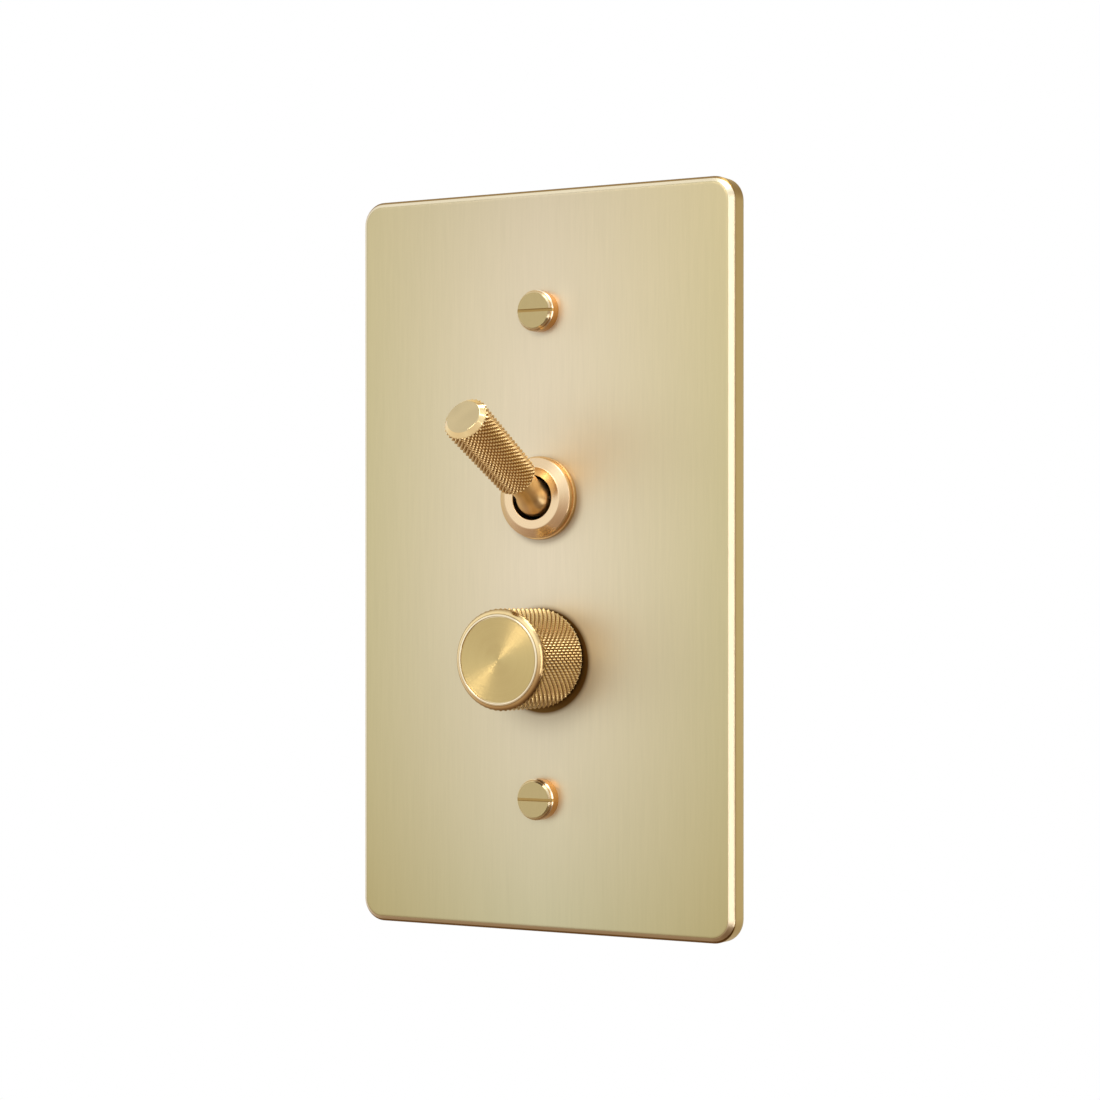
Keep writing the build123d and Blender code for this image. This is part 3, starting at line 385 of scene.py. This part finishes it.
def lever_grip():
    """Knurled, tapered sleeve about the lever's line, with a foot rounded by a quarter circle and a
    plain bevelled tip."""
    hollow = [
        (GRIP_BORE_END, 0),
        (GRIP_BORE_END, GRIP_BORE_R),
        (GRIP_START, GRIP_BORE_R),
        (GRIP_START, GRIP_BASE_R - GRIP_ROUND),
    ]
    under = eased(hollow, GRIP_HOLLOW_EASE, steps=3)
    start = GRIP_START + GRIP_ROUND
    end = GRIP_END - GRIP_BEVEL
    swing = np.linspace(0, pi / 2, 12)[1:-1]
    foot = start - GRIP_ROUND * np.cos(swing)
    sleeve = np.linspace(start, end, GRIP_ROWS * CELLS + 1)
    bevel = np.linspace(end, GRIP_END, 14)[1:-1]
    reach = np.concatenate([foot, sleeve, bevel])
    crest = np.interp(reach, [start, end], [GRIP_BASE_R, GRIP_TIP_R])
    outline = np.interp(reach, [start, end, GRIP_END], [GRIP_BASE_R, GRIP_TIP_R, GRIP_FACE_R])
    outline[: len(foot)] -= GRIP_ROUND * (1 - np.sin(swing))
    tip = [
        (GRIP_END - GRIP_TIP_EASE, GRIP_FACE_R + GRIP_TIP_EASE),
        (GRIP_END, GRIP_FACE_R),
        (GRIP_END, 0),
    ]
    top = eased(tip, GRIP_TIP_EASE)[1:]
    reach, radius, relief, lean = knurled_turning(
        under, reach, outline, crest, top, start, end, GRIP_ROWS, GRIP_TEETH, GRIP_KNURL
    )
    points = turned(PIVOT, LEVER_LINE, LEVER_UP, reach, radius, GRIP_TEETH * CELLS)
    return piece(
        "lever_grip", points, "lever", "toggle_grip", lean=lean, relief=relief
    )


class Shade:
    """A socket of a node tree. Arithmetic on it adds Math nodes, and node() adds any other node."""

    def __init__(self, tree, socket=None):
        self.tree = tree
        self.socket = socket

    def node(self, kind, settings=None, sockets=None, out=0):
        """Adds a node: its settings first, then its sockets' values or links. Gives one output."""
        made = self.tree.nodes.new("ShaderNode" + kind)
        for name, value in (settings or {}).items():
            setattr(made, name, value)
        for name, value in (sockets or {}).items():
            if isinstance(value, Shade):
                self.tree.links.new(value.socket, made.inputs[name])
            else:
                made.inputs[name].default_value = value
        return Shade(self.tree, made.outputs[out] if len(made.outputs) else None)

    def sibling(self, out):
        """Another output of the node that this one comes from."""
        return Shade(self.tree, self.socket.node.outputs[out])

    def math(self, operation, *others):
        """Math node with this value as its first."""
        return self.node("Math", {"operation": operation}, dict(enumerate((self, *others))))

    def __add__(self, other):
        return self.math("ADD", other)

    def __sub__(self, other):
        return self.math("SUBTRACT", other)

    def __rsub__(self, other):
        return self.node("Math", {"operation": "SUBTRACT"}, {0: other, 1: self})

    def __mul__(self, other):
        return self.math("MULTIPLY", other)

    def __pow__(self, other):
        return self.math("POWER", other)

    __radd__ = __add__
    __rmul__ = __mul__

    def limit(self, low=0.0, high=1.0):
        """The value kept between two others."""
        return self.math("MAXIMUM", low).math("MINIMUM", high)

    def rise(self, start, width=CRISP):
        """0 up to a start and 1 past a width beyond it, both in millimetres."""
        return ((self - start * MM) * (1 / (width * MM))).limit()

    def axes(self):
        """The three parts of a vector."""
        first = self.node("SeparateXYZ", sockets={0: self})
        return [first.sibling(i) for i in range(3)]

    def noise(self, scale, detail=3.0, rough=0.55):
        """Noise from 0 to 1 with its own scale along each axis, per metre."""
        stretched = self.node("Mapping", sockets={"Vector": self, "Scale": scale})
        sockets = {"Vector": stretched, "Scale": 1.0, "Detail": detail, "Roughness": rough}
        return self.node("TexNoise", sockets=sockets)

    def between(self, first, second):
        """Colour mixed from first to second as this value goes from 0 to 1."""
        first, second = (c if isinstance(c, Shade) else (*c, 1) for c in (first, second))
        return self.node("Mix", {"data_type": "RGBA"}, {0: self, 6: first, 7: second}, out=2)

    def times(self, other):
        """Colour multiplied by another and kept at 1 or less."""
        settings = {"data_type": "RGBA", "blend_type": "MULTIPLY", "clamp_result": True}
        return self.node("Mix", settings, {0: 1.0, 6: self, 7: other}, out=2)

    def bump(self, depth, normal=None):
        """Surface normal tilted by this value as a height of that depth in metres."""
        sockets = {"Height": self, "Distance": depth}
        if normal is not None:
            sockets["Normal"] = normal
        return self.node("Bump", sockets=sockets)


def bare_tree(owner):
    """Empty node tree of a material or world."""
    owner.use_nodes = True
    owner.node_tree.nodes.clear()
    return Shade(owner.node_tree)


def make_finish(name, build):
    """Material whose Principled inputs are what build gives for the object's own coordinates."""
    made = bpy.data.materials.new(name)
    start = bare_tree(made)
    point = start.node("TexCoord", out="Object")
    surface = start.node("BsdfPrincipled", sockets=build(point))
    start.node("OutputMaterial", sockets={"Surface": surface})
    return made


def turning_lines(radius, reach, per_metre, detail=4.0):
    """Fine turning lines: noise of the distance from the axis and the reach along it alone."""
    section = radius.node("CombineXYZ", sockets={0: radius, 1: reach})
    return section.noise((per_metre, per_metre, 1), detail)


def painted_glow(x, z, right, height, wide, tall):
    """Soft oval spot of painted reflection: exp(-(u^2 + v^2) / 2), with u counted in its width and
    v in its height.
    """
    u = (x - right * MM) * (1 / (wide * MM))
    v = (z - height * MM) * (1 / (tall * MM))
    return (-0.5 * (u**2.0 + v**2.0)).math("EXPONENT")


def painted_shadow(x, z, right, height, rim, width):
    """Painted shadow that fades outwards from a circle: (1 - distance from it / width)^2."""
    radius = ((x - right * MM) ** 2.0 + (z - height * MM) ** 2.0) ** 0.5
    return (1 - radius.rise(rim, width)) ** 2.0


def brushed_plate(point):
    """Upright brushing: noise stretched along Z. The colour holds painted light: a painted
    highlight makes it palest in the middle, and painted shade makes it deeper towards the ends and
    more golden towards the sides and the foot. Across is 1.15 sqrt(u^2 + 0.02) - 0.163, a rounded
    |u|, with u the share of the way to a side. Paler spots beside the controls are painted
    reflections of them, and a painted shadow darkens the metal close to the ring and the knob, more
    to the right and below. A brown arris of painted shade parts bevel and side, wider at the head
    and the foot."""
    strokes = point.noise(BRUSH_STROKES, detail=4.0)
    bands = point.noise(BRUSH_BANDS, detail=2.0)
    clouds = point.noise(BRUSH_CLOUDS, detail=2.0)
    x, y, z = point.axes()
    u = x * (1 / (PLATE_HALF_WIDTH * MM))
    across = (1.15 * (u**2.0 + 0.02) ** 0.5 - 0.163).limit()
    head = z.rise(0, PLATE_HALF_HEIGHT) ** 2.0
    foot = (0 - z).rise(0, PLATE_HALF_HEIGHT) ** 2.0
    # Painted highlight in the middle, painted shade towards the head, the foot and the sides
    middle = foot.between(head.between(MIDDLE_HIGHLIGHT_BRASS, HEAD_SHADE_BRASS), FOOT_SHADE_BRASS)
    sides = foot.between(head.between(SIDE_SHADE_BRASS, SIDE_HEAD_SHADE_BRASS), SIDE_FOOT_SHADE_BRASS)
    tone = (0.45 * strokes + 0.3 * bands + 0.25 * clouds).limit()
    brushing = tone.between((0.91, 0.91, 0.89), (1.13, 1.13, 1.15))
    front = across.between(middle, sides).times(brushing)
    # Painted reflections: paler spots beside the controls
    glow = sum(share * painted_glow(x, z, *spot) for *spot, share in PAINTED_GLOWS)
    front = front.times(glow.between((1, 1, 1), (2.0, 2.08, 2.2)))
    # Painted shadow about the ring and the knob, strongest right of and below the knob
    shadowed = sum(share * painted_shadow(x, z, *ring) for *ring, share in PAINTED_SHADOWS)
    front = shadowed.between(front, SHADOW_BROWN)
    bevel = y.rise(-PLATE_BEVEL_TONE)
    edge = y.rise(-PLATE_SIDE_TONE, SIDE_FADE)
    # Painted shade: a brown line along the arris between bevel and side, wider where the edge faces
    # up or down
    upright = point.node("NewGeometry", out="True Normal").axes()[2].math("ABSOLUTE")
    arris_start = y + (0.04 + 0.55 * upright) * MM
    arris_end = y.rise(-PLATE_BEVEL_END, LINE_FADE)
    arris_shade = arris_start.rise(-PLATE_BEVEL_END, LINE_FADE) * (1 - arris_end)
    metal = edge.between(bevel.between(front, BEVEL_BRASS), EDGE_BRASS)
    eased_edges = point.node("Bevel", {"samples": 8}, {"Radius": 0.6 * MM})
    return {
        "Base Color": arris_shade.between(metal, ARRIS_SHADE_BROWN),
        "Metallic": 1.0,
        "Anisotropic": 0.4,
        "Roughness": (0.38 + 0.12 * strokes) * (1 - 0.3 * bevel),
        "Normal": (strokes + 0.6 * bands).bump(2.2e-6, normal=eased_edges),
    }


def turned_ring(point):
    """Bright turned face and cone, with a deeper colour of painted shade on the sides."""
    x, y, z = point.axes()
    z = z - TOGGLE_Z * MM
    lines = turning_lines((x * x + z * z) ** 0.5, y, 9000)
    bright = lines.between((0.84, 0.625, 0.37), (0.94, 0.73, 0.47))
    return {
        # The sides' deeper colour is painted shade
        "Base Color": y.rise(-RING_SHADED_SIDE).between(bright, (0.66, 0.42, 0.18)),
        "Metallic": 1.0,
        "Roughness": 0.16 + 0.12 * lines,
        "Normal": lines.bump(1.5e-6),
    }


def knurled(plain, deep, wear_level):
    """Brass that is dark in the grooves, partly as patina and partly as painted shade, worn on the
    diamonds and of a plain, clouded colour on a plain end, which on the knob's lip is a painted
    highlight."""

    def build(point):
        relief = point.node("Attribute", {"attribute_name": "relief"}, out="Fac")
        wear = point.noise((900, 900, 900), detail=2.0)
        # Dark grooves are partly patina and partly painted shade
        tone = (relief * 1.25 + wear_level + 0.25 * (wear - 0.5)).limit()
        cloud = point.noise((240, 240, 240), detail=1.0)
        clean = cloud.between([0.82 * part for part in plain], [1.18 * part for part in plain])
        rough = 0.24 - 0.15 * relief + 0.08 * (wear - 0.5)
        return {
            "Base Color": (relief - 1).limit().between(tone.between(deep, WORN_BRASS), clean),
            "Metallic": 1.0,
            "Roughness": rough.limit(0.07, 0.6),
            "Normal": wear.bump(2e-6),
        }

    return build


def spun_face(point):
    """Satin brass with fine turning lines between the cut grooves."""
    x, y, z = point.axes()
    z = z - DIMMER_Z * MM
    lines = turning_lines((x * x + z * z) ** 0.5, y, 12000)
    return {
        "Base Color": lines.between((0.56, 0.43, 0.175), (0.68, 0.535, 0.25)),
        "Metallic": 1.0,
        "Roughness": 0.28 + 0.08 * lines,
    }


def satin_lever(point):
    """Satin brass with turning lines across the lever's own line."""
    settings = {"operation": "DOT_PRODUCT"}
    along = point.node("VectorMath", settings, {0: point, 1: Vector(LEVER_LINE)}, out="Value")
    section = point.node("CombineXYZ", sockets={0: along})
    lines = section.noise((7000, 1, 1), detail=4.0)
    cloud = point.noise((300, 300, 300))
    return {
        "Base Color": (0.5 * lines + 0.5 * cloud).between((0.92, 0.64, 0.30), (0.99, 0.74, 0.40)),
        "Metallic": 1.0,
        "Roughness": 0.29 + 0.1 * lines,
        "Normal": lines.bump(1e-6),
    }


def screw_head(point):
    """Satin face, a slot darkened with painted shade, a polished bevel with a turned line darkened
    with painted shade, a side deepened to orange with painted shade, and thread ridges behind the
    plate."""
    x, y, z = point.axes()
    z = z - SCREW_Z * MM * z.math("SIGN")
    radius = (x * x + z * z) ** 0.5
    lines = turning_lines(radius, y, 8000, detail=3.0)
    grain = point.noise((4000, 4000, 500))
    turn = z.math("ARCTAN2", x) * (0.5 / pi)
    thread = (y * (1 / (THREAD_PITCH * MM)) + turn).math("PINGPONG", 0.5)
    behind = y.math("GREATER_THAN", THREAD_START * MM)
    step = y.math("GREATER_THAN", -HEAD_STEP * MM)
    proud = y.math("LESS_THAN", -PLATE_FRONT * MM)
    slot = z.math("ABSOLUTE").math("LESS_THAN", SLOT_HALF * MM) * (1 - step)
    off_line = (radius - HEAD_LINE_R * MM).math("ABSOLUTE")
    line = 1 - off_line.rise(0, LINE_FADE)
    height = thread * behind * 160.0 + 0.4 * lines + 0.4 * grain * (1 - behind) - 16.0 * line
    face = (0.5 * lines + 0.5 * grain).between((0.46, 0.36, 0.165), (0.55, 0.435, 0.215))
    polished = radius.rise(HEAD_FACE_R) * (1 - behind)
    # Painted shade: the dark turned line, the deeper orange side and the dark slot
    bevel = line.between((0.95, 0.84, 0.60), (0.6, 0.28, 0.07))
    metal = (step * proud).between(polished.between(face, bevel), (0.62, 0.31, 0.085))
    return {
        "Base Color": slot.between(metal, (0.42, 0.27, 0.09)),
        "Metallic": 1.0,
        "Roughness": 0.15 + 0.12 * grain,
        "Normal": height.bump(2e-6),
    }


def machined(low, high, rough, spread=0.12, scale=2500):
    """Plain metal with fine tool marks and a slow change of tone."""

    def build(point):
        marks = point.noise((scale, scale, scale * 0.15), detail=4.0)
        cloud = point.noise((160, 160, 160), detail=2.0)
        return {
            "Base Color": (0.5 * marks + 0.5 * cloud).between(low, high),
            "Metallic": 1.0,
            "Roughness": rough + spread * (marks - 0.5),
            "Normal": marks.bump(2e-6),
        }

    return build


def moulded(low, high, rough, grain=900, coat=0.0):
    """Moulded plastic or laminate: fine pebble grain with slow clouds of tone."""

    def build(point):
        pebble = point.noise((grain, grain, grain), detail=4.0, rough=0.6)
        cloud = point.noise((90, 90, 90), detail=3.0)
        return {
            "Base Color": (0.35 * pebble + 0.65 * cloud).between(low, high),
            "Roughness": rough + 0.18 * (pebble - 0.5),
            "Coat Weight": coat,
            "Normal": pebble.bump(1.2e-5),
        }

    return build


def laminate_board(point):
    """Glass laminate: crossed weave under the green lacquer and a darker band of tracks."""
    x, _, z = point.axes()
    weave = (x * 9000.0).math("SINE") * (z * 9000.0).math("SINE")
    track = (z * 420.0).math("PINGPONG", 0.5)
    band = track.math("GREATER_THAN", 0.36)
    tone = (0.5 + 0.12 * weave + 0.35 * band).limit()
    return {
        "Base Color": tone.between((0.03, 0.15, 0.06), (0.09, 0.32, 0.15)),
        "Roughness": 0.34 + 0.06 * weave,
        "Coat Weight": 0.4,
        "Normal": (weave * 0.3 + band).bump(8e-6),
    }


def wound_wire(point):
    """Enamelled turns of wire: ridges that follow the angle about the coil's axis, darker between
    the turns with painted shade.
    """
    x, _, z = point.axes()
    turn = (z - COIL_Z * MM).math("ARCTAN2", x - COIL_X * MM) * 10.0
    ridge = turn.math("PINGPONG", 0.5) * 2.0
    return {
        # Painted shade darkens the colour between the turns
        "Base Color": ridge.between((0.30, 0.10, 0.035), (0.66, 0.30, 0.13)),
        "Metallic": 0.85,
        "Roughness": 0.42 - 0.14 * ridge,
        "Coat Weight": 0.5,
        "Normal": ridge.bump(1.4e-4),
    }


# Finishes of the CAD nodes
FINISHES = {
    "brushed_plate": (brushed_plate, ["face_plate"]),
    "screw_head": (screw_head, ["plate_screws"]),
    "satin_lever": (satin_lever, ["toggle_lever"]),
    "machined_brass": (
        machined((0.56, 0.43, 0.21), (0.68, 0.54, 0.29), 0.34),
        ["toggle_bushing", "dimmer_bushing", "dimmer_nut", "dimmer_shaft"],
    ),
    "rolled_brass": (
        machined((0.60, 0.46, 0.20), (0.74, 0.60, 0.31), 0.28, scale=3500),
        [
            "common_terminal",
            "upper_terminal",
            "lower_terminal",
            "dimmer_terminals",
            "contact_cradle",
            "wiper",
        ],
    ),
    "silver_button": (
        machined((0.74, 0.74, 0.72), (0.88, 0.88, 0.86), 0.26),
        ["moving_contacts", "fixed_contacts"],
    ),
    "drawn_steel": (
        machined((0.58, 0.58, 0.58), (0.74, 0.74, 0.74), 0.24, scale=5000),
        ["plunger_spring", "cradle_pin", "shaft_clip"],
    ),
    "black_oxide": (
        machined((0.035, 0.031, 0.027), (0.075, 0.067, 0.058), 0.42),
        ["toggle_pivot_pin"],
    ),
    "zinc_plate": (
        machined((0.56, 0.58, 0.60), (0.74, 0.75, 0.76), 0.36, spread=0.2),
        [
            "switch_case_screws",
            "dimmer_case_screws",
            "pot_case",
            "triac_screw",
            "ground_washer",
            "dimmer_washer",
        ],
    ),
    "binding_screw": (
        machined((0.58, 0.45, 0.20), (0.74, 0.60, 0.32), 0.3, scale=4000),
        ["switch_terminal_screws", "dimmer_terminal_screws"],
    ),
    "green_lacquer": (
        moulded((0.05, 0.26, 0.10), (0.11, 0.40, 0.18), 0.38, coat=0.4),
        ["ground_screw"],
    ),
    "mill_aluminium": (
        machined((0.68, 0.69, 0.70), (0.84, 0.85, 0.86), 0.38, spread=0.16, scale=3000),
        ["heat_sink"],
    ),
    "black_phenolic": (
        moulded((0.028, 0.027, 0.026), (0.065, 0.061, 0.058), 0.46),
        ["switch_case", "triac"],
    ),
    "grey_moulding": (
        moulded((0.085, 0.089, 0.093), (0.15, 0.156, 0.163), 0.52),
        ["dimmer_case"],
    ),
    "white_nylon": (
        moulded((0.78, 0.77, 0.73), (0.88, 0.87, 0.84), 0.45),
        ["plunger", "rotor"],
    ),
    "brown_laminate": (
        moulded((0.2, 0.1, 0.045), (0.36, 0.21, 0.1), 0.5, grain=600),
        ["resistance_track"],
    ),
    "laminate_board": (laminate_board, ["circuit_board"]),
    "ferrite": (
        moulded((0.12, 0.12, 0.13), (0.24, 0.24, 0.25), 0.7, grain=1500),
        ["choke_core"],
    ),
    "wound_wire": (wound_wire, ["choke_winding"]),
    "moulded_yellow": (
        moulded((0.70, 0.5, 0.06), (0.84, 0.66, 0.15), 0.3, coat=0.3),
        ["capacitor"],
    ),
}

for title, (build, members) in FINISHES.items():
    look = make_finish(title, build)
    for member in members:
        nodes[member].data.materials.clear()
        nodes[member].data.materials.append(look)

# New pieces and their finishes
# The knob's pale plain colour, on its lip, is a painted highlight
knob_knurl = knurled((0.93, 0.81, 0.57), (0.2, 0.085, 0.012), -0.11)
grip_knurl = knurled((0.65, 0.52, 0.29), (0.36, 0.18, 0.04), -0.03)
for made, title, build in (
    (dress_ring(), "turned_ring", turned_ring),
    (knob_barrel(), "knurled_knob", knob_knurl),
    (knob_face(), "spun_face", spun_face),
    (lever_grip(), "knurled_grip", grip_knurl),
):
    made.data.materials.append(make_finish(title, build))

scene = bpy.context.scene
scene.view_settings.view_transform = "Standard"

# Studio. The camera sees white, and matt surfaces get an even light.
EVEN_LIGHT = 0.45
WARM_LIGHT = (1.0, 0.5, 0.16)

studio = bpy.data.worlds.new("studio")
scene.world = studio
sky = bare_tree(studio)
camera_ray = sky.node("LightPath", out="Is Camera Ray")
glossy_ray = camera_ray.sibling("Is Glossy Ray")
clear_ray = camera_ray.sibling("Is Transmission Ray")
seen = (camera_ray + clear_ray).limit()

# Metal mirrors a soft room: lighter above and in front, dim and warm below, dimmer at the right and
# dark above and behind
east, north, up = sky.node("TexCoord", out="Generated").axes()
above = up.limit()
below = (0 - up).limit()
ahead = (0 - north).limit()
room = 0.88 + 0.6 * above - 0.65 * below + 0.2 * ahead
room = room - 0.45 * east.limit() - 2.0 * (north.limit() * above)
ceiling = (1.04 + 0.8 * east).limit(1.0, 1.6) - 0.12 * above
mirrored = room.math("MINIMUM", ceiling).limit(0.1, 1.6)
level = seen + (1 - seen) * (glossy_ray * mirrored + (1 - glossy_ray) * EVEN_LIGHT)
warmth = glossy_ray * (1 - seen) * (1 - 1.1 * mirrored).limit()
tint = warmth.between((1, 1, 1), WARM_LIGHT)
backdrop = sky.node("Background", sockets={"Color": tint, "Strength": level})
sky.node("OutputWorld", sockets={"Surface": backdrop})


def softbox(name, place, aim, size, level, colour=(1, 1, 1)):
    """Rectangular lamp that faces a point. Level is its brightness, with 1 as white."""
    lamp = bpy.data.lights.new(name, "AREA")
    lamp.shape = "RECTANGLE"
    lamp.size, lamp.size_y = size
    lamp.color = colour
    lamp.energy = level * pi * size[0] * size[1]
    made = bpy.data.objects.new(name, lamp)
    made.location = place
    made.rotation_mode = "QUATERNION"
    made.rotation_quaternion = (Vector(aim) - Vector(place)).to_track_quat("-Z", "Y")
    made.visible_camera = False
    scene.collection.objects.link(made)


softbox("front", (0.0, -0.53, 0.30), (0, 0, -0.02), (0.22, 0.18), 5.0, (1.0, 0.86, 0.72))
softbox("key", (0.26, -0.155, 0.54), (0, 0, 0), (0.26, 0.26), 3.0)
softbox("side", (0.50, -0.27, 0.0), (0, 0, 0), (0.14, 0.50), 1.8)
softbox("low_rim", (0.52, -0.06, -0.23), (0, 0, 0), (0.09, 0.16), 3.6)
softbox("top_rim", (0.09, 0.07, 0.57), (0, 0, 0), (0.36, 0.16), 4.0)

# Pale floor, far enough below that the part's shadow stays out of the picture
FLOOR_R = 0.62
FLOOR_Z = -0.26
FLOOR_SIDES = 96
FLOOR_RINGS = np.array((0.0, 0.03, 0.5, 1.0))
FLOOR_COLOUR = (0.82, 0.82, 0.81, 1)

angle = np.arange(FLOOR_SIDES) * 2 * pi / FLOOR_SIDES
circle = np.stack([np.cos(angle), np.sin(angle), 0 * angle], axis=-1)
disc = FLOOR_R * FLOOR_RINGS[:, None, None] * circle + np.array((0, 0, FLOOR_Z))
index = np.arange(disc[..., 0].size).reshape(disc.shape[:2])
after = np.roll(index, -1, axis=1)
quads = np.stack([index[:-1], index[1:], after[1:], after[:-1]], axis=-1).reshape(-1, 4)
floor_mesh = bpy.data.meshes.new("floor")
floor_mesh.from_pydata(disc.reshape(-1, 3).tolist(), [], quads.tolist())
floor = bpy.data.objects.new("floor", floor_mesh)
scene.collection.objects.link(floor)
floor.visible_glossy = False

# The camera sees the floor as almost white, and white at its rim
pale = bpy.data.materials.new("pale_floor")
ground = bare_tree(pale)
camera_ray = ground.node("LightPath", out="Is Camera Ray")
matte = ground.node("BsdfDiffuse", sockets={"Color": FLOOR_COLOUR})
white = ground.node("Emission", sockets={"Color": (1, 1, 1, 1), "Strength": 1.0})
x, y, _ = ground.node("TexCoord", out="Object").axes()
outward = ((x * x + y * y) * (1 / FLOOR_R**2)).limit()
whiteness = camera_ray * (0.85 + 0.15 * outward)
mixed = ground.node("MixShader", sockets={0: whiteness, 1: matte, 2: white})
ground.node("OutputMaterial", sockets={"Surface": mixed})
floor_mesh.materials.append(pale)

# Camera, level and turned 30 degrees to the right of the plate's own line. Its focal length and
# shifts are counted in pixels of a frame 1100 wide.
FRAME_PIXELS = 1100
FOCAL_PIXELS = 2811.6
SHIFT_PIXELS = (1.2, 38.5)
SENSOR = 36.0

camera_data = bpy.data.cameras.new("camera")
camera_data.sensor_width = SENSOR
camera_data.lens = SENSOR * FOCAL_PIXELS / FRAME_PIXELS
camera_data.shift_x = SHIFT_PIXELS[0] / FRAME_PIXELS
camera_data.shift_y = SHIFT_PIXELS[1] / FRAME_PIXELS
camera = bpy.data.objects.new("camera", camera_data)
camera.location = (0.24149, -0.41942, -0.00570)
camera.rotation_euler = (pi / 2, 0, radians(30))
scene.collection.objects.link(camera)
scene.camera = camera
